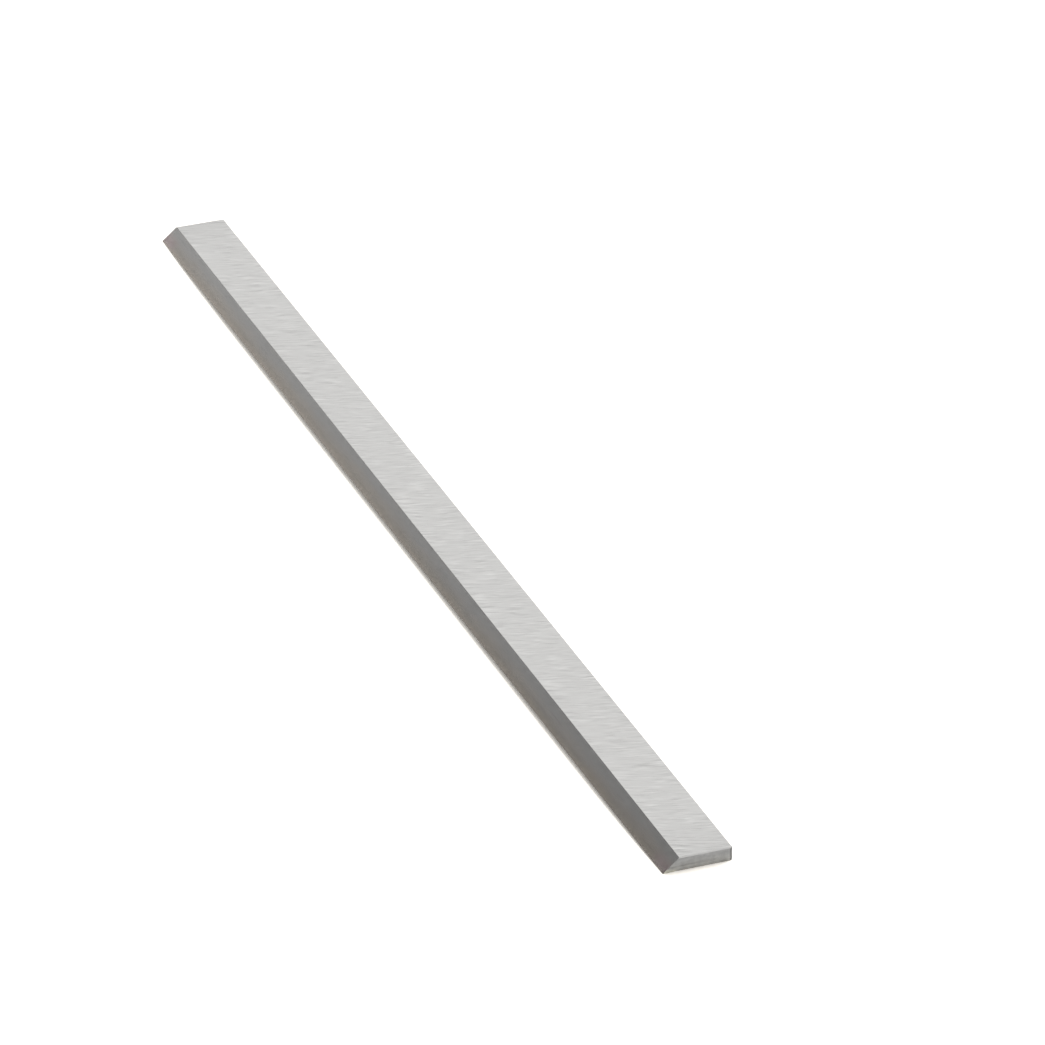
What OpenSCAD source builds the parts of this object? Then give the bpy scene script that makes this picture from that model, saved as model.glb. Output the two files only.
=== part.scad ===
// Knife for the cutterhead of a thickness planer or a jointer, in millimetres.
//
// A flat bar of hardened steel, ground on all sides, with one long edge ground to a bevel. The
// bevel and the flat underside meet in the cutting edge.
//
// X runs along the knife. The cutting edge is at -Y and the heel, its square back edge, at +Y.
// The underside lies on Z = 0 with the origin at its middle, and the bevel faces up.

/* [Bar] */
// Length from end to end, 13 in
knife_l = 330.2; // [60:0.1:700]
// Width from the cutting edge to the heel, 5/8 in
knife_w = 15.875; // [12:0.005:40]
// Thickness of the bar, 1/8 in
knife_t = 3.175; // [2:0.005:5]

/* [Bevel] */
// Angle of the cutting edge, between the bevel and the underside
edge_angle = 40; // [35:0.5:50]

/* [Broken edges] */
// Chamfer along both long edges of the heel
heel_break = 0.15; // [0.05:0.05:0.6]
// Chamfer across the upper edge of each end
end_top_break = 0.2; // [0.05:0.05:0.6]
// Chamfer across the lower edge of each end
end_foot_break = 0.05; // [0.05:0.05:0.6]
// Chamfer on the upright corners between the ends and the heel
corner_break = 0.4; // [0.05:0.05:1]

/* [Finish] */
// Colour of the ground steel
steel = "silver"; // [silver, lightgray, darkgray]

/* [Hidden] */

// Width that the bevel takes from the upper face
bevel_run = knife_t / tan(edge_angle);
// The cutting edge, the heel and the ends
edge_y = -knife_w / 2;
heel_y = knife_w / 2;
end_x = knife_l / 2;

// Cross-section in Y and Z: a rectangle with the bevel cut from its front upper corner and the
// two heel corners broken
module section() {
    polygon([
        [edge_y, 0],
        [heel_y - heel_break, 0],
        [heel_y, heel_break],
        [heel_y, knife_t - heel_break],
        [heel_y - heel_break, knife_t],
        [edge_y + bevel_run, knife_t],
    ]);
}

// Outline seen from above: a rectangle with the two heel corners broken
module plan() {
    polygon([
        [-end_x, edge_y],
        [end_x, edge_y],
        [end_x, heel_y - corner_break],
        [end_x - corner_break, heel_y],
        [-end_x + corner_break, heel_y],
        [-end_x, heel_y - corner_break],
    ]);
}

// Outline seen from the heel, in X and Z: both ends broken above and below
module elevation() {
    polygon([
        [-end_x + end_foot_break, 0],
        [end_x - end_foot_break, 0],
        [end_x, end_foot_break],
        [end_x, knife_t - end_top_break],
        [end_x - end_top_break, knife_t],
        [-end_x + end_top_break, knife_t],
        [-end_x, knife_t - end_top_break],
        [-end_x, end_foot_break],
    ]);
}

// The knife is what the three outlines have in common
module knife() {
    color(steel)
        intersection() {
            translate([-end_x, 0, 0])
                rotate([90, 0, 90])
                    linear_extrude(knife_l)
                        section();
            linear_extrude(knife_t)
                plan();
            translate([0, heel_y, 0])
                rotate([90, 0, 0])
                    linear_extrude(knife_w)
                        elevation();
        }
}

knife();
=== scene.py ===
"""Looks of a planer knife: one bar of ground steel lying on a pale studio floor.

Sizes in the classes are millimetres, as on a drawing, and MM turns them into the scene's metres.
X runs along the knife, the cutting edge is at -Y, the heel at +Y, and the bevel faces up.
"""

import logging
import math
from dataclasses import dataclass
from enum import Enum
from typing import Protocol

import bmesh
import bpy
from mathutils import Matrix, Vector, noise


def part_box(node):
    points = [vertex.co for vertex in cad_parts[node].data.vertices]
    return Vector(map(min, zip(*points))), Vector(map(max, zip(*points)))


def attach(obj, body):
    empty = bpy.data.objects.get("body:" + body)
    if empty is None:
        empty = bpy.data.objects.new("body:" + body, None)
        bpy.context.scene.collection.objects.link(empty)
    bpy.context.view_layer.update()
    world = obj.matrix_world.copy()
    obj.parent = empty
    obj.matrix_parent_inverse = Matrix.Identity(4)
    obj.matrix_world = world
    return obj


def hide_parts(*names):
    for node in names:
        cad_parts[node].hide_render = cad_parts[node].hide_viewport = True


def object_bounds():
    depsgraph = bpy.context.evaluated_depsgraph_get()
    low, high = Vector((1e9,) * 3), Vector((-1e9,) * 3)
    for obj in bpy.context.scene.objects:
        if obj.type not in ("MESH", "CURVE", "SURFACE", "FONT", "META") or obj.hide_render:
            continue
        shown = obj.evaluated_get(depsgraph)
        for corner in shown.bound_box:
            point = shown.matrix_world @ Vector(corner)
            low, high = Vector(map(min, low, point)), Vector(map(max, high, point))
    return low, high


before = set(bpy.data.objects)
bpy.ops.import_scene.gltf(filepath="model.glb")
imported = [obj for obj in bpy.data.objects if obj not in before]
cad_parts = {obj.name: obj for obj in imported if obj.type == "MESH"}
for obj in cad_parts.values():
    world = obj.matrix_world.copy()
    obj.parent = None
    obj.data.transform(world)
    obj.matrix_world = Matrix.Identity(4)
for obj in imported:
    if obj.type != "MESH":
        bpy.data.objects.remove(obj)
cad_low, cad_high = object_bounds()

MM = 0.001
NODE = "knife"
GRIND_MAP = "grind"

# Directions along the knife, across it towards the heel, and up
ALONG = Vector((1, 0, 0))
OVER = Vector((0, 1, 0))
UP = Vector((0, 0, 1))

# Distances in metres within which points count as on one plane, or as one point after a cut
ON_PLANE = 1e-6
CUT_WELD = 1e-8
SLICE_WELD = 1e-9

# Parts of a face's normal along an axis, from 0 to 1, that tell the surfaces apart
SQUARE_ON = 0.999
BEVEL_LEAN = 0.5
END_LEAN = 0.2
CORNER_LEAN = 0.3

# Strength of each finer octave of a noise beside the one before it
OCTAVE_SHARE = 0.6

Socket = bpy.types.NodeSocket
Triple = tuple[float, float, float]
Colour = Triple
Input = Socket | float
Paint = Socket | Colour

log = logging.getLogger("planer_knife")


class Ground(Enum):
    """The surfaces of the knife by how each was finished, in the order of the material slots."""

    FACE = 0
    BEVEL = 1
    HEEL = 2
    END = 3
    HEEL_ARRIS = 4
    END_ARRIS = 5
    UPRIGHT_ARRIS = 6


@dataclass(frozen=True)
class Streaks:
    """A stretched noise.

    The width and length of a streak are millimetres, detail counts the finer octaves on top, and
    the seed picks a slice of the noise. Tone and rough say how far it lightens and roughens.
    """

    width: float
    length: float
    detail: float
    seed: float
    tone: float = 0.0
    rough: float = 0.0


@dataclass(frozen=True)
class Stripe:
    """A soft stripe, with its middle and half its width in millimetres."""

    middle: float
    half_width: float
    tone: float = 0.0


@dataclass(frozen=True)
class Fade:
    """A fall from full to none over a length in millimetres, which ends at start lengths."""

    length: float
    start: float = 1.0
    tone: float = 0.0


@dataclass(frozen=True)
class Wave:
    """A noise along the heel's wear, with its length in millimetres."""

    length: float
    share: float
    seed: float


class Graph:
    """A material's node tree, with one short method for each kind of node that the finishes use."""

    def __init__(self, name: str) -> None:
        """Starts a material with a Principled shader.

        Args:
            name: The material's name.
        """
        self.material = bpy.data.materials.new(name)
        self.material.use_nodes = True
        self.nodes = self.material.node_tree.nodes
        self.links = self.material.node_tree.links
        self.shader = self.nodes["Principled BSDF"]

    def add(self, kind: str, **settings: object) -> bpy.types.Node:
        """Adds a node.

        Args:
            kind: The node's type, without its ShaderNode prefix.
            **settings: The node's own properties.

        Returns:
            The new node.
        """
        node = self.nodes.new("ShaderNode" + kind)
        for key, value in settings.items():
            setattr(node, key, value)
        return node

    def feed(self, socket: Socket, value: Input | tuple[float, ...]) -> None:
        """Links or sets an input.

        Args:
            socket: The input.
            value: An output to link, or a plain value to set.
        """
        if isinstance(value, Socket):
            self.links.new(value, socket)
        else:
            socket.default_value = value

    def math(self, operation: str, *values: Input, clamp: bool = False) -> Socket:
        """Works out one sum.

        Args:
            operation: The Math node's operation.
            *values: Its inputs.
            clamp: Whether the result is kept from 0 to 1.

        Returns:
            The result.
        """
        node = self.add("Math", operation=operation, use_clamp=clamp)
        for socket, value in zip(node.inputs, values):
            self.feed(socket, value)
        return node.outputs[0]

    def plus(self, total: Input, pattern: Input, weight: float) -> Socket:
        """Adds a weighted pattern to a total."""
        return self.math("MULTIPLY_ADD", pattern, weight, total)

    def dot(self, vector: Socket, direction: Vector) -> Socket:
        """Measures a point along a direction.

        Args:
            vector: The point.
            direction: The direction, whose length scales the result.

        Returns:
            The distance.
        """
        node = self.add("VectorMath", operation="DOT_PRODUCT")
        self.feed(node.inputs[0], vector)
        node.inputs[1].default_value = direction
        return node.outputs["Value"]

    def millimetres(self) -> Socket:
        """Finds the place on the object.

        Returns:
            The place, in millimetres.
        """
        place = self.add("TexCoord").outputs["Object"]
        node = self.add("VectorMath", operation="SCALE")
        self.feed(node.inputs[0], place)
        node.inputs["Scale"].default_value = 1 / MM
        return node.outputs["Vector"]

    def to_end(self, along_knife: Socket, end_x: float) -> Socket:
        """Measures how far the knife's nearer end is."""
        return self.math("SUBTRACT", end_x, self.math("ABSOLUTE", along_knife))

    def grain(self, across: Socket, along: Socket, streaks: Streaks) -> Socket:
        """Draws noise that is stretched into streaks.

        Args:
            across: Distance across the streaks, in millimetres.
            along: Distance along the streaks, in millimetres.
            streaks: Their size, detail and seed.

        Returns:
            The noise, from 0 to 1 about a half.
        """
        where = self.add("CombineXYZ")
        self.feed(where.inputs[0], self.math("DIVIDE", across, streaks.width))
        self.feed(where.inputs[1], self.math("DIVIDE", along, streaks.length))
        where.inputs[2].default_value = streaks.seed
        node = self.add("TexNoise", noise_dimensions="3D")
        self.feed(node.inputs["Vector"], where.outputs[0])
        node.inputs["Scale"].default_value = 1.0
        node.inputs["Detail"].default_value = streaks.detail
        node.inputs["Roughness"].default_value = OCTAVE_SHARE
        return node.outputs["Fac"]

    def peaks(self, streaks: Socket, start: float, full: float) -> Socket:
        """Keeps only the few strongest streaks of a stretched noise.

        Args:
            streaks: The stretched noise.
            start: Where a streak begins to show.
            full: Where it shows in full.

        Returns:
            0 away from these streaks and 1 in their middle.
        """
        rise = self.math("SUBTRACT", streaks, start)
        return self.math("DIVIDE", rise, full - start, clamp=True)

    def stripe(self, across: Socket, stripe: Stripe) -> Socket:
        """Draws one soft stripe.

        Args:
            across: Distance across the stripe, in millimetres.
            stripe: Its place and width.

        Returns:
            1 along the middle, falling to 0 at both sides.
        """
        away = self.math("ABSOLUTE", self.math("SUBTRACT", across, stripe.middle))
        share = self.math("DIVIDE", away, stripe.half_width)
        return self.math("SUBTRACT", 1.0, share, clamp=True)

    def fade(self, distance: Socket, fade: Fade) -> Socket:
        """Lets something fade out with distance.

        Args:
            distance: The distance, in millimetres.
            fade: Over which length it fades, and where it ends.

        Returns:
            1 near by, falling to 0.
        """
        share = self.math("DIVIDE", distance, fade.length)
        return self.math("SUBTRACT", fade.start, share, clamp=True)

    def sum_of(self, base: float, *terms: tuple[Socket, float]) -> Socket:
        """Adds weighted noises, each counted from its middle value of a half.

        Args:
            base: The value where every noise is at its middle.
            *terms: Pairs of a noise and its weight.

        Returns:
            The sum.
        """
        total = base
        for value, weight in terms:
            total = self.plus(total, self.math("SUBTRACT", value, 0.5), weight)
        return total

    def tint(self, factor: Socket, first: Paint, second: Paint) -> Socket:
        """Blends two colours.

        Args:
            factor: 0 for the first and 1 for the second.
            first: The first colour.
            second: The second colour.

        Returns:
            The blended colour.
        """
        node = self.add("Mix", data_type="RGBA", clamp_factor=True)
        self.feed(node.inputs["Factor"], factor)
        # The node's colour sockets come after those for numbers and vectors
        for socket, paint in ((node.inputs[6], first), (node.inputs[7], second)):
            self.feed(socket, (*paint, 1) if isinstance(paint, tuple) else paint)
        return node.outputs[2]

    def shade(self, colour: Paint, amount: Socket) -> Socket:
        """Makes a colour lighter or darker.

        Args:
            colour: The colour.
            amount: What it is multiplied by.

        Returns:
            The new colour.
        """
        node = self.add("VectorMath", operation="SCALE")
        self.feed(node.inputs[0], colour)
        self.feed(node.inputs["Scale"], amount)
        return node.outputs["Vector"]

    def relief(self, height: Socket, depth: float) -> None:
        """Presses a pattern into the surface.

        Args:
            height: The pattern, from 0 to 1.
            depth: Its depth, in millimetres.
        """
        node = self.add("Bump")
        node.inputs["Strength"].default_value = 1.0
        node.inputs["Distance"].default_value = depth * MM
        self.feed(node.inputs["Height"], height)
        self.feed(self.shader.inputs["Normal"], node.outputs["Normal"])

    def steel(self, colour: Socket, roughness: Socket, brushed: float) -> bpy.types.Material:
        """Finishes the shader as bare metal.

        Args:
            colour: The metal's colour.
            roughness: Its roughness.
            brushed: How far reflections stretch across the grinding lines, from 0 to 1.

        Returns:
            The material.
        """
        self.feed(self.shader.inputs["Base Color"], colour)
        self.feed(self.shader.inputs["Roughness"], roughness)
        self.shader.inputs["Metallic"].default_value = 1.0
        self.shader.inputs["Anisotropic"].default_value = brushed
        tangent = self.add("Tangent", direction_type="UV_MAP", uv_map=GRIND_MAP)
        self.feed(self.shader.inputs["Tangent"], tangent.outputs[0])
        return self.material


class Finish(Protocol):
    """What every finish offers."""

    def material(self) -> bpy.types.Material:
        """Builds the finish's material."""


@dataclass(frozen=True)
class CupGround:
    """A broad face ground by a cup wheel, whose rim leaves long shallow arcs across it.

    The lines are bold in some places and calm in others, and of the light and dark noises only
    the strongest streaks show. The face's colour is a little darker towards both ends.
    """

    end_x: float
    colour: Colour = (0.623, 0.619, 0.607)
    roughness: float = 0.3
    brushed: float = 0.5
    wheel_radius: float = 77.0
    wheel_offset: float = 25.0
    sway: Streaks = Streaks(5.0, 4.0, 1.0, 53.0)
    sway_width: float = 0.8
    fine: Streaks = Streaks(0.16, 9.0, 3.0, 0.0, tone=0.25, rough=0.12)
    broad: Streaks = Streaks(0.62, 5.5, 2.0, 11.0, tone=0.53, rough=0.12)
    patch: Streaks = Streaks(14.0, 7.0, 2.0, 23.0, tone=0.06)
    light: Streaks = Streaks(0.8, 9.0, 1.0, 31.0, tone=0.09)
    dark: Streaks = Streaks(0.85, 8.0, 1.0, 43.0, tone=-0.1)
    peak_start: float = 0.6
    peak_full: float = 0.7
    calm: Streaks = Streaks(5.0, 5.0, 1.0, 71.0)
    calm_swing: float = 4.0
    least_vigour: float = 0.2
    darker_ends: Fade = Fade(16.0, tone=-0.06)
    relief_depth: float = 0.004
    broad_relief: float = 0.5

    def across_arcs(self, graph: Graph, along_knife: Socket, over: Socket) -> Socket:
        """Measures across the arcs that the wheel's rim leaves.

        Args:
            graph: The material's nodes.
            along_knife: Distance along the knife.
            over: Distance across the knife.

        Returns:
            The distance across the arcs, which sway a little.
        """
        chord = graph.math("SUBTRACT", over, self.wheel_offset)
        square = graph.math("MULTIPLY", chord, chord)
        rise = graph.math("SQRT", graph.math("SUBTRACT", self.wheel_radius**2, square))
        sway = graph.grain(along_knife, over, self.sway)
        across = graph.math("SUBTRACT", along_knife, rise)
        return graph.plus(across, sway, self.sway_width)

    def vigour(self, graph: Graph, along_knife: Socket, over: Socket) -> Socket:
        """Draws how bold the grinding lines are.

        Args:
            graph: The material's nodes.
            along_knife: Distance along the knife.
            over: Distance across the knife.

        Returns:
            What their contrast is multiplied by, 1 where the noise is at its middle.
        """
        calm = graph.grain(along_knife, over, self.calm)
        swing = graph.math("MULTIPLY_ADD", calm, self.calm_swing, 1.0 - self.calm_swing / 2)
        return graph.math("MAXIMUM", swing, self.least_vigour)

    def strongest(self, graph: Graph, across: Socket, over: Socket, streaks: Streaks) -> Socket:
        """Draws only the strongest of some streaks."""
        return graph.peaks(graph.grain(across, over, streaks), self.peak_start, self.peak_full)

    def material(self) -> bpy.types.Material:
        """Builds the finish.

        Returns:
            The material.
        """
        graph = Graph("ground_face")
        place = graph.millimetres()
        along_knife = graph.dot(place, ALONG)
        over = graph.dot(place, OVER)
        across = self.across_arcs(graph, along_knife, over)
        fine = graph.grain(across, over, self.fine)
        broad = graph.grain(across, over, self.broad)
        patch = graph.grain(along_knife, over, self.patch)
        brushing = graph.sum_of(0.0, (fine, self.fine.tone), (broad, self.broad.tone))
        brushing = graph.math("MULTIPLY", brushing, self.vigour(graph, along_knife, over))
        tone = graph.math("ADD", brushing, graph.sum_of(1.0, (patch, self.patch.tone)))
        for streaks in (self.light, self.dark):
            tone = graph.plus(tone, self.strongest(graph, across, over, streaks), streaks.tone)
        darker_ends = graph.fade(graph.to_end(along_knife, self.end_x), self.darker_ends)
        tone = graph.plus(tone, darker_ends, self.darker_ends.tone)
        colour = graph.shade(self.colour, tone)
        roughness = graph.sum_of(self.roughness, (fine, self.fine.rough), (broad, self.broad.rough))
        height = graph.sum_of(0.5, (fine, 1.0), (broad, self.broad_relief))
        graph.relief(height, self.relief_depth)
        return graph.steel(colour, roughness, self.brushed)


@dataclass(frozen=True)
class BevelGround:
    """The bevel, ground finer than the faces, with a straw tint towards the cutting edge.

    The straw tint is a painted reflection of the warm floor beside the edge, and a painted lighter
    strip runs along the edge itself. A plum tint shows faintly near both ends, a few scores lie along
    the bevel, and the edge's two tips are darkened with painted shade. Places on the bevel are
    measured up from the cutting edge.
    """

    end_x: float
    edge_angle: float
    # Darker than the faces' steel, in part painted shade for the dark reflection on the bevel
    colour: Colour = (0.517, 0.512, 0.502)
    # Straw: a painted reflection of the warm floor near the cutting edge
    straw: Colour = (0.543, 0.493, 0.436)
    plum: Colour = (0.59, 0.499, 0.499)
    roughness: float = 0.24
    brushed: float = 0.4
    fine: Streaks = Streaks(0.12, 7.0, 3.0, 3.0, tone=0.1, rough=0.08)
    band: Streaks = Streaks(1.1, 60.0, 2.0, 17.0, tone=0.1, rough=0.06)
    patch: Streaks = Streaks(16.0, 4.0, 2.0, 29.0, tone=0.1)
    dark_band: Stripe = Stripe(1.45, 0.8, tone=-0.065)
    # Painted light: a lighter strip along the cutting edge
    painted_edge_light: Stripe = Stripe(0.0, 1.0, tone=0.07)
    scores: Streaks = Streaks(0.5, 10.0, 1.0, 61.0, tone=-0.09)
    score_start: float = 0.6
    score_full: float = 0.72
    # Painted shade at the edge's two tips
    painted_tip_shade: Fade = Fade(1.3, tone=-0.6)
    straw_reach: Fade = Fade(3.2, start=1.15)
    straw_patches: float = 0.9
    plum_reach: Fade = Fade(4.0, start=2.0)
    plum_band: Stripe = Stripe(1.3, 2.2)
    relief_depth: float = 0.0015

    def straw_reflection_and_plum(self, graph: Graph, slope: Socket, to_end: Socket, patch: Socket) -> Socket:
        """Tints the steel straw near the edge, a painted reflection of the warm floor, and plum at
        the ends.

        Args:
            graph: The material's nodes.
            slope: Distance up the bevel.
            to_end: Distance to the nearer end.
            patch: The noise that makes the straw tint patchy.

        Returns:
            The tinted colour.
        """
        # Painted reflection of the warm floor, strongest at the cutting edge and patchy
        near_edge = graph.fade(slope, self.straw_reach)
        patchy = graph.math("SUBTRACT", patch, 0.5)
        warm = graph.plus(near_edge, patchy, self.straw_patches)
        plum_share = graph.fade(to_end, self.plum_reach)
        plum_share = graph.math("MULTIPLY", plum_share, graph.stripe(slope, self.plum_band))
        return graph.tint(plum_share, graph.tint(warm, self.colour, self.straw), self.plum)

    def material(self) -> bpy.types.Material:
        """Builds the finish.

        Returns:
            The material.
        """
        graph = Graph("ground_bevel")
        place = graph.millimetres()
        along_knife = graph.dot(place, ALONG)
        height = graph.dot(place, UP)
        slope = graph.math("DIVIDE", height, math.sin(self.edge_angle))
        to_end = graph.to_end(along_knife, self.end_x)
        fine = graph.grain(along_knife, slope, self.fine)
        band = graph.grain(slope, along_knife, self.band)
        patch = graph.grain(along_knife, slope, self.patch)
        noises = ((fine, self.fine), (band, self.band), (patch, self.patch))
        tone = graph.sum_of(1.0, *((value, streaks.tone) for value, streaks in noises))
        # The second stripe is a painted lighter strip along the cutting edge
        for stripe in (self.dark_band, self.painted_edge_light):
            tone = graph.plus(tone, graph.stripe(slope, stripe), stripe.tone)
        # Painted shade darkens the edge's two tips
        painted_tip_shade = graph.fade(graph.math("ADD", to_end, slope), self.painted_tip_shade)
        tone = graph.plus(tone, painted_tip_shade, self.painted_tip_shade.tone)
        scores = graph.grain(slope, along_knife, self.scores)
        scores = graph.peaks(scores, self.score_start, self.score_full)
        tone = graph.plus(tone, scores, self.scores.tone)
        colour = graph.shade(self.straw_reflection_and_plum(graph, slope, to_end, patch), tone)
        roughness = graph.sum_of(self.roughness, (fine, self.fine.rough), (band, self.band.rough))
        graph.relief(fine, self.relief_depth)
        return graph.steel(colour, roughness, self.brushed)


@dataclass(frozen=True)
class HeelGround:
    """The heel, ground lengthwise."""

    colour: Colour = (0.55, 0.547, 0.536)
    roughness: float = 0.34
    brushed: float = 0.5
    fine: Streaks = Streaks(0.1, 14.0, 3.0, 5.0, tone=0.2, rough=0.1)
    patch: Streaks = Streaks(2.5, 18.0, 2.0, 13.0, tone=0.2, rough=0.08)
    relief_depth: float = 0.002

    def material(self) -> bpy.types.Material:
        """Builds the finish.

        Returns:
            The material.
        """
        graph = Graph("ground_heel")
        place = graph.millimetres()
        along_knife = graph.dot(place, ALONG)
        height = graph.dot(place, UP)
        fine = graph.grain(height, along_knife, self.fine)
        patch = graph.grain(height, along_knife, self.patch)
        tone = graph.sum_of(1.0, (fine, self.fine.tone), (patch, self.patch.tone))
        colour = graph.shade(self.colour, tone)
        roughness = graph.sum_of(self.roughness, (fine, self.fine.rough), (patch, self.patch.rough))
        graph.relief(fine, self.relief_depth)
        return graph.steel(colour, roughness, self.brushed)


@dataclass(frozen=True)
class CutEnd:
    """An end as the cutting-off wheel left it: duller and blotched, with a pale strip at its foot.

    Distances run back from the cutting edge or from the heel, and heights up from the underside.
    The pale strip is a painted reflection of the floor in front and thins out away from the cutting
    edge, and the foot is lightened and warmed with painted light against the shadowed floor that it
    mirrors. Two dark lines lie along the end, and one more stands beside the upright corner, with a
    paler one next to it.
    """

    edge_y: float
    heel_y: float
    colour: Colour = (0.345, 0.342, 0.335)
    # Lighter, warmer colour towards the foot: painted light against the shadowed floor it mirrors
    foot_painted_light_colour: Colour = (0.372, 0.363, 0.336)
    # Pale strip along the foot: a painted reflection of the floor in front
    painted_floor_reflection: Colour = (0.49, 0.48, 0.41)
    roughness: float = 0.42
    brushed: float = 0.3
    fine: Streaks = Streaks(0.1, 2.5, 3.0, 7.0, tone=0.35, rough=0.15)
    blotch: Streaks = Streaks(0.9, 1.3, 2.0, 19.0, tone=0.7, rough=0.2)
    cloud: Streaks = Streaks(2.0, 4.0, 1.0, 37.0, tone=0.3)
    foot_painted_light_reach: Fade = Fade(2.4)
    # Place of the painted floor reflection along the foot
    reflection_height: float = 0.9
    reflection_taper: float = -0.12
    reflection_softness: float = 0.2
    reflection_end: float = 3.6
    # Painted light that lightens the foot near the cutting edge, against the shadowed floor it
    # mirrors
    brightening_height: float = 1.0
    brightening_softness: float = 0.3
    foot: Fade = Fade(3.0, start=4.5, tone=0.17)
    upper_line: Stripe = Stripe(1.06, 0.22, tone=-0.23)
    upper_tilt: float = -0.02
    upper_reach: Fade = Fade(3.5, start=3.2)
    lower_line: Stripe = Stripe(0.48, 0.2, tone=-0.15)
    lower_start: float = 2.8
    corner_shade: Stripe = Stripe(0.4, 0.35, tone=-0.7)
    corner_glint: Stripe = Stripe(0.85, 0.25, tone=0.1)
    relief_depth: float = 0.006

    def painted_reflection_strip(self, graph: Graph, from_edge: Socket, height: Socket) -> Socket:
        """Draws the pale strip at the foot, a painted reflection of the floor in front of the end.

        Args:
            graph: The material's nodes.
            from_edge: Distance from the cutting edge.
            height: Height above the underside.

        Returns:
            1 on the strip and 0 off it.
        """
        top = graph.math("MULTIPLY_ADD", from_edge, self.reflection_taper, self.reflection_height)
        below_top = graph.math("SUBTRACT", top, height)
        strip = graph.math("DIVIDE", below_top, self.reflection_softness, clamp=True)
        before_end = graph.math("SUBTRACT", self.reflection_end, from_edge, clamp=True)
        return graph.math("MULTIPLY", strip, before_end)

    def painted_foot_brightening(self, graph: Graph, from_edge: Socket, height: Socket) -> Socket:
        """Draws the paler foot of the end, painted light against the shadowed floor that it mirrors.

        Args:
            graph: The material's nodes.
            from_edge: Distance from the cutting edge.
            height: Height above the underside.

        Returns:
            1 along the foot and 0 above it.
        """
        below_top = graph.math("SUBTRACT", self.brightening_height, height)
        strip = graph.math("DIVIDE", below_top, self.brightening_softness, clamp=True)
        return graph.math("MULTIPLY", strip, graph.fade(from_edge, self.foot))

    def upper_mark(self, graph: Graph, from_edge: Socket, height: Socket) -> Socket:
        """Draws the upper dark line, which climbs a little and fades out towards the heel.

        Args:
            graph: The material's nodes.
            from_edge: Distance from the cutting edge.
            height: Height above the underside.

        Returns:
            1 on the line and 0 off it.
        """
        level = graph.plus(height, from_edge, self.upper_tilt)
        reach = graph.fade(from_edge, self.upper_reach)
        return graph.math("MULTIPLY", graph.stripe(level, self.upper_line), reach)

    def lower_mark(self, graph: Graph, from_edge: Socket, height: Socket) -> Socket:
        """Draws the lower dark line, which begins some way back from the cutting edge.

        Args:
            graph: The material's nodes.
            from_edge: Distance from the cutting edge.
            height: Height above the underside.

        Returns:
            1 on the line and 0 off it.
        """
        begun = graph.math("SUBTRACT", from_edge, self.lower_start, clamp=True)
        return graph.math("MULTIPLY", graph.stripe(height, self.lower_line), begun)

    def material(self) -> bpy.types.Material:
        """Builds the finish.

        Returns:
            The material.
        """
        graph = Graph("cut_end")
        place = graph.millimetres()
        over = graph.dot(place, OVER)
        height = graph.dot(place, UP)
        from_edge = graph.math("SUBTRACT", over, self.edge_y)
        from_heel = graph.math("SUBTRACT", self.heel_y, over)
        fine = graph.grain(height, over, self.fine)
        blotch = graph.grain(height, over, self.blotch)
        cloud = graph.grain(height, over, self.cloud)
        noises = ((fine, self.fine), (blotch, self.blotch), (cloud, self.cloud))
        tone = graph.sum_of(1.0, *((value, streaks.tone) for value, streaks in noises))
        # Painted light: lighter and warmer towards the foot, against the shadowed floor that it
        # mirrors
        bare = graph.tint(graph.fade(height, self.foot_painted_light_reach), self.colour, self.foot_painted_light_colour)
        marks = (
            # Painted light along the foot near the cutting edge
            (self.painted_foot_brightening(graph, from_edge, height), self.foot.tone),
            (self.upper_mark(graph, from_edge, height), self.upper_line.tone),
            (self.lower_mark(graph, from_edge, height), self.lower_line.tone),
            (graph.stripe(from_heel, self.corner_shade), self.corner_shade.tone),
            (graph.stripe(from_heel, self.corner_glint), self.corner_glint.tone),
        )
        for mark, weight in marks:
            tone = graph.plus(tone, mark, weight)
        # Painted reflection of the floor: a pale strip along the foot by the cutting edge
        with_reflection = graph.tint(self.painted_reflection_strip(graph, from_edge, height), bare, self.painted_floor_reflection)
        colour = graph.shade(with_reflection, tone)
        roughness = graph.sum_of(self.roughness, (fine, self.fine.rough), (blotch, self.blotch.rough))
        graph.relief(fine, self.relief_depth)
        return graph.steel(colour, roughness, self.brushed)


@dataclass(frozen=True)
class StonedArris:
    """A sharp corner taken off by hand with a stone, which leaves short cross lines."""

    name: str
    colour: Colour
    roughness: float = 0.38
    brushed: float = 0.0
    fine: Streaks = Streaks(0.35, 1.2, 3.0, 9.0, tone=0.35, rough=0.2)
    relief_depth: float = 0.006

    def material(self) -> bpy.types.Material:
        """Builds the finish.

        Returns:
            The material.
        """
        graph = Graph(self.name)
        place = graph.millimetres()
        along_knife = graph.dot(place, ALONG)
        over = graph.dot(place, OVER + UP)
        fine = graph.grain(along_knife, over, self.fine)
        colour = graph.shade(self.colour, graph.sum_of(1.0, (fine, self.fine.tone)))
        roughness = graph.sum_of(self.roughness, (fine, self.fine.rough))
        graph.relief(fine, self.relief_depth)
        return graph.steel(colour, roughness, self.brushed)


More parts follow.
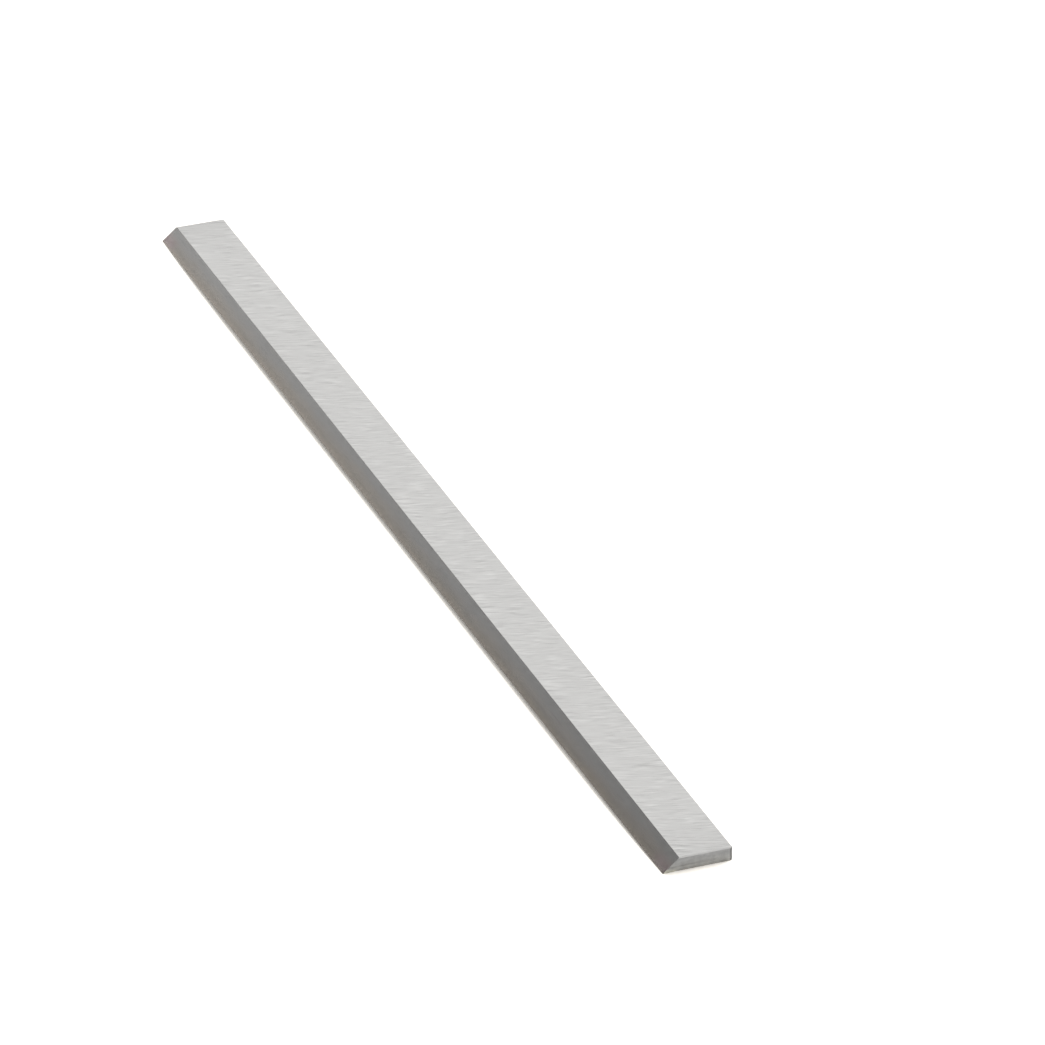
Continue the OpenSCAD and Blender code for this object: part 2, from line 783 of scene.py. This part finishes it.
@dataclass
class PlanerKnife:
    """The knife: a bar with one bevelled edge, its other corners broken and worn by hand.

    Low and high are the corners of the bar's box, in metres. An edge counts as a corner, and is
    rounded, where its faces turn by more than least_corner. The heel's chamfers wear unevenly on
    points within wear_reach chamfers of the heel, clear of the ends by wear_margin, and only
    points farther than wear_from_middle from the heel's middle move up or down.
    """

    low: Vector
    high: Vector
    edge_angle: float = math.radians(40)
    heel_break: float = 0.15
    end_top_break: float = 0.2
    end_foot_break: float = 0.05
    corner_break: float = 0.4
    arris_round: float = 0.03
    arris_segments: int = 2
    least_corner: float = math.radians(20)
    slice_pitch: float = 1.0
    slice_margin: float = 2.0
    wear: float = 0.03
    wear_margin: float = 3.0
    wear_reach: float = 1.6
    wear_from_middle: float = 1.2
    wear_waves: tuple[Wave, ...] = (Wave(9.0, 1.0, 0.0), Wave(2.3, 0.7, 5.0))
    upper_seed: float = 7.3
    lower_seed: float = 19.1
    face_lines_turn: float = math.radians(18)

    def finishes(self) -> dict[Ground, Finish]:
        """Chooses the finishes.

        Returns:
            The finish of each surface.
        """
        end_x, edge_y, heel_y = self.high.x / MM, self.low.y / MM, self.high.y / MM
        return {
            Ground.FACE: CupGround(end_x),
            Ground.BEVEL: BevelGround(end_x, self.edge_angle),
            Ground.HEEL: HeelGround(),
            Ground.END: CutEnd(edge_y, heel_y),
            Ground.HEEL_ARRIS: StonedArris("stoned_heel_arris", (0.6, 0.597, 0.585)),
            Ground.END_ARRIS: StonedArris("stoned_end_arris", (0.54, 0.536, 0.525), roughness=0.5),
            # Near-black: painted shade standing in for the darker surroundings that the upright
            # corner mirrors
            Ground.UPRIGHT_ARRIS: StonedArris("stoned_corner", (0.16, 0.157, 0.152), roughness=0.5),
        }

    def blank(self) -> bmesh.types.BMesh:
        """Makes the plain bar, in metres.

        Returns:
            The bar as a box.
        """
        bar = bmesh.new()
        bmesh.ops.create_cube(bar, size=1.0)
        size = self.high - self.low
        bmesh.ops.scale(bar, vec=size, verts=bar.verts)
        bmesh.ops.translate(bar, vec=(self.low + self.high) / 2, verts=bar.verts)
        return bar

    def grind(self, bar: bmesh.types.BMesh, point: Vector | Triple, outwards: Triple) -> None:
        """Grinds away what lies beyond a plane and closes the cut.

        Args:
            bar: The bar.
            point: A point on the plane.
            outwards: The plane's direction, out of the steel.
        """
        cut = bmesh.ops.bisect_plane(
            bar,
            geom=[*bar.verts, *bar.edges, *bar.faces],
            dist=CUT_WELD,
            plane_co=point,
            plane_no=Vector(outwards).normalized(),
            clear_outer=True,
        )
        rim = [item for item in cut["geom_cut"] if isinstance(item, bmesh.types.BMEdge)]
        bmesh.ops.contextual_create(bar, geom=rim)

    def shape(self, bar: bmesh.types.BMesh) -> None:
        """Grinds the bevel and breaks the corners of the heel and the ends.

        Args:
            bar: The bar.
        """
        low, high = self.low, self.high
        self.grind(bar, low, (0, -math.sin(self.edge_angle), math.cos(self.edge_angle)))
        break_y = high.y - self.heel_break * MM
        self.grind(bar, (0, break_y, high.z), (0, 1, 1))
        self.grind(bar, (0, break_y, low.z), (0, 1, -1))
        for end_x, side in ((low.x, -1), (high.x, 1)):
            top, foot, corner = (
                end_x - side * width * MM
                for width in (self.end_top_break, self.end_foot_break, self.corner_break)
            )
            self.grind(bar, (top, 0, high.z), (side, 0, 1))
            self.grind(bar, (foot, 0, low.z), (side, 0, -1))
            self.grind(bar, (corner, high.y, 0), (side, 1, 0))

    def round_arrises(self, bar: bmesh.types.BMesh) -> None:
        """Rounds the corners of every chamfer and leaves the bevel's two edges sharp.

        Args:
            bar: The bar.
        """
        bevel_top = self.low.y + (self.high.z - self.low.z) / math.tan(self.edge_angle)
        corners = [
            edge
            for edge in bar.edges
            if edge.calc_face_angle(0.0) > self.least_corner
            and min(vert.co.y for vert in edge.verts) > bevel_top - ON_PLANE
            and not all(abs(vert.co.y - bevel_top) < ON_PLANE for vert in edge.verts)
        ]
        bmesh.ops.bevel(
            bar,
            geom=corners,
            offset=self.arris_round * MM,
            offset_type="OFFSET",
            affect="EDGES",
            segments=self.arris_segments,
            profile=0.5,
            material=-1,
            clamp_overlap=True,
        )

    def slice(self, bar: bmesh.types.BMesh) -> None:
        """Divides the bar along its length, so that its arrises can wear unevenly.

        Args:
            bar: The bar.
        """
        margin = self.slice_margin * MM
        span = self.high.x - self.low.x - 2 * margin
        count = round(span / (self.slice_pitch * MM))
        for index in range(count + 1):
            x = self.low.x + margin + span * index / count
            everything = [*bar.verts, *bar.edges, *bar.faces]
            bmesh.ops.bisect_plane(
                bar, geom=everything, dist=SLICE_WELD, plane_co=(x, 0, 0), plane_no=ALONG
            )

    def wear_depth(self, x: float, seed: float) -> float:
        """Works out how far an arris is worn.

        Args:
            x: Place along the knife, in metres.
            seed: Which arris it is.

        Returns:
            The depth, in metres.
        """
        rough = sum(
            wave.share * noise.noise(Vector((x / (wave.length * MM), seed, wave.seed)))
            for wave in self.wear_waves
        )
        return self.wear * MM * max(0.0, rough)

    def wear_heel(self, bar: bmesh.types.BMesh) -> None:
        """Widens the heel's two chamfers by a little that changes along the knife.

        Args:
            bar: The bar.
        """
        margin = self.wear_margin * MM
        first_y = self.high.y - self.wear_reach * self.heel_break * MM
        middle_z = (self.low.z + self.high.z) / 2
        for vert in bar.verts:
            x, y, z = vert.co
            if y < first_y or not self.low.x + margin < x < self.high.x - margin:
                continue
            upper = z > middle_z
            on_heel = self.high.y - y < ON_PLANE
            on_face = min(z - self.low.z, self.high.z - z) < ON_PLANE
            depth = self.wear_depth(x, self.upper_seed if upper else self.lower_seed)
            inwards = -1 if upper else 1
            if not on_heel:
                vert.co.y -= depth if on_face else depth / 2
            if not on_face and abs(z - middle_z) > self.wear_from_middle * MM:
                vert.co.z += inwards * (depth if on_heel else depth / 2)

    def settle_faces(self, bar: bmesh.types.BMesh) -> None:
        """Puts the faces in order, because the rounding leaves a few in another order each run.

        Args:
            bar: The bar.
        """
        bar.verts.index_update()
        count = len(bar.verts)

        def rank(face: bmesh.types.BMFace) -> int:
            """Ranks a face by its three lowest corners."""
            first, second, third = sorted(vert.index for vert in face.verts)[:3]
            return (first * count + second) * count + third

        bar.faces.sort(key=rank)

    def finish_of(self, normal: Vector) -> Ground:
        """Tells how the face with this normal was finished.

        Args:
            normal: The face's normal.

        Returns:
            The finish.
        """
        if abs(normal.z) > SQUARE_ON:
            return Ground.FACE
        if normal.y < -BEVEL_LEAN:
            return Ground.BEVEL
        if normal.y > SQUARE_ON:
            return Ground.HEEL
        if abs(normal.x) > SQUARE_ON:
            return Ground.END
        if abs(normal.x) < END_LEAN:
            return Ground.HEEL_ARRIS
        return Ground.UPRIGHT_ARRIS if abs(normal.y) > CORNER_LEAN else Ground.END_ARRIS

    def line_directions(self) -> dict[Ground, Vector]:
        """Gives the direction of the lines that each finish leaves.

        Returns:
            The direction on each surface.
        """
        turn = self.face_lines_turn
        return {
            Ground.FACE: Vector((math.sin(turn), math.cos(turn), 0)),
            Ground.BEVEL: Vector((0, math.cos(self.edge_angle), math.sin(self.edge_angle))),
            Ground.HEEL: ALONG,
            Ground.END: OVER,
            Ground.HEEL_ARRIS: ALONG,
            Ground.END_ARRIS: OVER,
            Ground.UPRIGHT_ARRIS: UP,
        }

    def lay_grind_map(self, bar: bmesh.types.BMesh) -> None:
        """Sets each face's finish, and a UV map whose U runs across its grinding lines.

        Args:
            bar: The bar.
        """
        directions = self.line_directions()
        layer = bar.loops.layers.uv.new(GRIND_MAP)
        for face in bar.faces:
            finish = self.finish_of(face.normal)
            face.material_index = finish.value
            along = directions[finish]
            across = face.normal.cross(along)
            for loop in face.loops:
                loop[layer].uv = (loop.vert.co.dot(across) / MM, loop.vert.co.dot(along) / MM)

    def build(self) -> bpy.types.Object:
        """Builds and dresses the knife.

        Returns:
            The finished piece.
        """
        bar = self.blank()
        self.shape(bar)
        self.round_arrises(bar)
        self.slice(bar)
        self.wear_heel(bar)
        bmesh.ops.remove_doubles(bar, verts=bar.verts, dist=CUT_WELD)
        bmesh.ops.recalc_face_normals(bar, faces=bar.faces)
        bar.normal_update()
        self.settle_faces(bar)
        self.lay_grind_map(bar)
        mesh = bpy.data.meshes.new("ground_knife")
        bar.to_mesh(mesh)
        bar.free()
        finishes = self.finishes()
        for ground in Ground:
            mesh.materials.append(finishes[ground].material())
        piece = bpy.data.objects.new("ground_knife", mesh)
        bpy.context.scene.collection.objects.link(piece)
        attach(piece, "root")
        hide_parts(NODE)
        return piece


@dataclass
class Studio:
    """The floor, the air above it, the key lamp and a dark card that the bevel mirrors.

    The lamp and the card stand at their distances from the knife's middle, in the directions that
    key_from and card_from give.
    """

    floor_size: float = 8000.0
    floor_colour: Colour = (0.98, 0.98, 0.98)
    floor_seen: Colour = (1.42, 1.37, 1.29)
    hollow: float = 0.62
    hollow_flatness: int = 8
    hollow_pitch: float = 2.5
    sheet_cells: int = 4
    air: float = 0.56
    key_from: Triple = (-0.2, 0.75, 0.62)
    key_distance: float = 1800.0
    key_power: float = 31.5
    key_size: float = 1300.0
    card_from: Triple = (-0.829, -0.56, 0.36)
    card_distance: float = 1100.0
    card_width: float = 1100.0
    card_height: float = 1300.0
    card_grey: float = 0.32
    card_slope: float = 0.8
    card_paler_towards: Triple = (-0.62, 0.57, -0.54)

    def build(self) -> None:
        """Builds the whole studio."""
        self.lay_floor()
        self.fill_air()
        self.hang_key()
        self.stand_card()

    def sheet(self, name: str, width: float, height: float, place: Matrix) -> bpy.types.Object:
        """Makes a flat sheet of studio material.

        Args:
            name: The object's name.
            width: Its width, in millimetres.
            height: Its height, in millimetres.
            place: Where it stands, in metres.

        Returns:
            The sheet, marked as stage.
        """
        shape = bmesh.new()
        cells = self.sheet_cells
        bmesh.ops.create_grid(shape, x_segments=cells, y_segments=cells, size=0.5)
        bmesh.ops.scale(shape, vec=(width * MM, height * MM, 1), verts=shape.verts)
        bmesh.ops.transform(shape, matrix=place, verts=shape.verts)
        mesh = bpy.data.meshes.new(name)
        shape.to_mesh(mesh)
        shape.free()
        sheet = bpy.data.objects.new(name, mesh)
        bpy.context.scene.collection.objects.link(sheet)
        return sheet

    def lay_floor(self) -> None:
        """Lays the pale floor, a little hollow under the knife, which rests on it at both ends.

        The camera sees its colour a little over-exposed, as white paper is in a product picture.
        """
        floor = self.sheet("floor", self.floor_size, self.floor_size, Matrix.Identity(4))
        self.hollow_out(floor.data)
        graph = Graph("floor_paper")
        graph.shader.inputs["Base Color"].default_value = (*self.floor_colour, 1)
        graph.shader.inputs["Roughness"].default_value = 1.0
        graph.shader.inputs["Specular IOR Level"].default_value = 0.0
        paper = graph.add("BsdfDiffuse")
        paper.inputs["Color"].default_value = (*self.floor_seen, 1)
        blend = graph.add("MixShader")
        graph.feed(blend.inputs[0], graph.add("LightPath").outputs["Is Camera Ray"])
        graph.feed(blend.inputs[1], graph.shader.outputs[0])
        graph.feed(blend.inputs[2], paper.outputs[0])
        graph.feed(graph.nodes["Material Output"].inputs["Surface"], blend.outputs[0])
        floor.data.materials.append(graph.material)

    def hollow_out(self, mesh: bpy.types.Mesh) -> None:
        """Lowers the floor between the knife's two ends.

        Args:
            mesh: The floor's mesh.
        """
        end_x = cad_high.x
        shape = bmesh.new()
        shape.from_mesh(mesh)
        count = round(2 * end_x / (self.hollow_pitch * MM))
        for index in range(count + 1):
            x = end_x * (2 * index / count - 1)
            everything = [*shape.verts, *shape.edges, *shape.faces]
            bmesh.ops.bisect_plane(shape, geom=everything, plane_co=(x, 0, 0), plane_no=ALONG)
        for vert in shape.verts:
            share = min(1.0, abs(vert.co.x) / end_x)
            vert.co.z = -self.hollow * MM * (1 - share**self.hollow_flatness)
        shape.to_mesh(mesh)
        shape.free()

    def fill_air(self) -> None:
        """Fills the background: white where it is seen or mirrored, softer where it lights."""
        world = bpy.data.worlds.new("studio_air")
        world.use_nodes = True
        bpy.context.scene.world = world
        world.cycles.sampling_method = "NONE"
        nodes, links = world.node_tree.nodes, world.node_tree.links
        path = nodes.new("ShaderNodeLightPath")
        seen = path.outputs["Is Camera Ray"]
        for name in ("Is Glossy Ray", "Is Transmission Ray"):
            either = nodes.new("ShaderNodeMath")
            either.operation = "MAXIMUM"
            links.new(seen, either.inputs[0])
            links.new(path.outputs[name], either.inputs[1])
            seen = either.outputs[0]
        strength = nodes.new("ShaderNodeMapRange")
        links.new(seen, strength.inputs["Value"])
        strength.inputs["To Min"].default_value = self.air
        strength.inputs["To Max"].default_value = 1.0
        background = nodes["Background"]
        background.inputs["Color"].default_value = (1, 1, 1, 1)
        links.new(strength.outputs[0], background.inputs["Strength"])

    def hang_key(self) -> None:
        """Hangs the soft key lamp high on the heel's side.

        It is left out of reflections, where its glare would turn whole faces white.
        """
        towards = Vector(self.key_from).normalized()
        lamp = bpy.data.lights.new("key_softbox", "AREA")
        lamp.shape = "SQUARE"
        lamp.size = self.key_size * MM
        lamp.energy = self.key_power
        softbox = bpy.data.objects.new("key_softbox", lamp)
        softbox.location = towards * (self.key_distance * MM)
        softbox.rotation_euler = towards.to_track_quat("Z", "Y").to_euler()
        softbox.visible_glossy = False
        bpy.context.scene.collection.objects.link(softbox)

    def stand_card(self) -> None:
        """Stands the dark card where the bevel mirrors it, seen by reflections alone."""
        towards = Vector(self.card_from).normalized()
        turn = towards.to_track_quat("Z", "Y").to_matrix().to_4x4()
        place = Matrix.Translation(towards * (self.card_distance * MM)) @ turn
        card = self.sheet("dark_card", self.card_width, self.card_height, place)
        card.visible_camera = False
        card.visible_diffuse = False
        card.visible_shadow = False
        graph = Graph("card_felt")
        where = graph.add("TexCoord").outputs["Object"]
        across = graph.dot(where, Vector(self.card_paler_towards))
        grey = graph.math("MULTIPLY_ADD", across, self.card_slope, self.card_grey, clamp=True)
        graph.feed(graph.shader.inputs["Base Color"], grey)
        graph.shader.inputs["Roughness"].default_value = 1.0
        card.data.materials.append(graph.material)


@dataclass
class Viewpoint:
    """The photograph's camera: a long lens that looks down along the knife."""

    azimuth: float = 69.41
    elevation: float = 27.70
    roll: float = -0.55
    distance: float = 1768.5
    aim: Triple = (4.87, 21.65, -0.7)
    lens: float = 267.4
    sensor: float = 36.0
    nearest: float = 10.0
    farthest: float = 100000.0

    def build(self) -> bpy.types.Object:
        """Makes the camera and gives it to the scene.

        Returns:
            The camera.
        """
        turn, lift = math.radians(self.azimuth), math.radians(self.elevation)
        level = math.cos(lift)
        back = Vector((math.sin(turn) * level, -math.cos(turn) * level, math.sin(lift)))
        data = bpy.data.cameras.new("camera")
        data.lens = self.lens
        data.sensor_width = self.sensor
        data.clip_start = self.nearest * MM
        data.clip_end = self.farthest * MM
        camera = bpy.data.objects.new("camera", data)
        camera.location = (Vector(self.aim) + back * self.distance) * MM
        roll = Matrix.Rotation(math.radians(self.roll), 3, "Z").to_quaternion()
        camera.rotation_mode = "QUATERNION"
        camera.rotation_quaternion = (-back).to_track_quat("-Z", "Y") @ roll
        bpy.context.scene.collection.objects.link(camera)
        bpy.context.scene.camera = camera
        return camera


def main() -> None:
    """Builds the knife, the studio and the camera."""
    logging.basicConfig(level=logging.INFO, format="%(name)s: %(message)s")
    bpy.context.scene.view_settings.view_transform = "Standard"
    knife = PlanerKnife(*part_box(NODE)).build()
    log.info("%s: %d faces", knife.name, len(knife.data.polygons))
    Studio().build()
    log.info("studio: floor, air, key lamp and card")
    Viewpoint().build()
    log.info("camera placed")


if __name__ == "__main__":
    main()
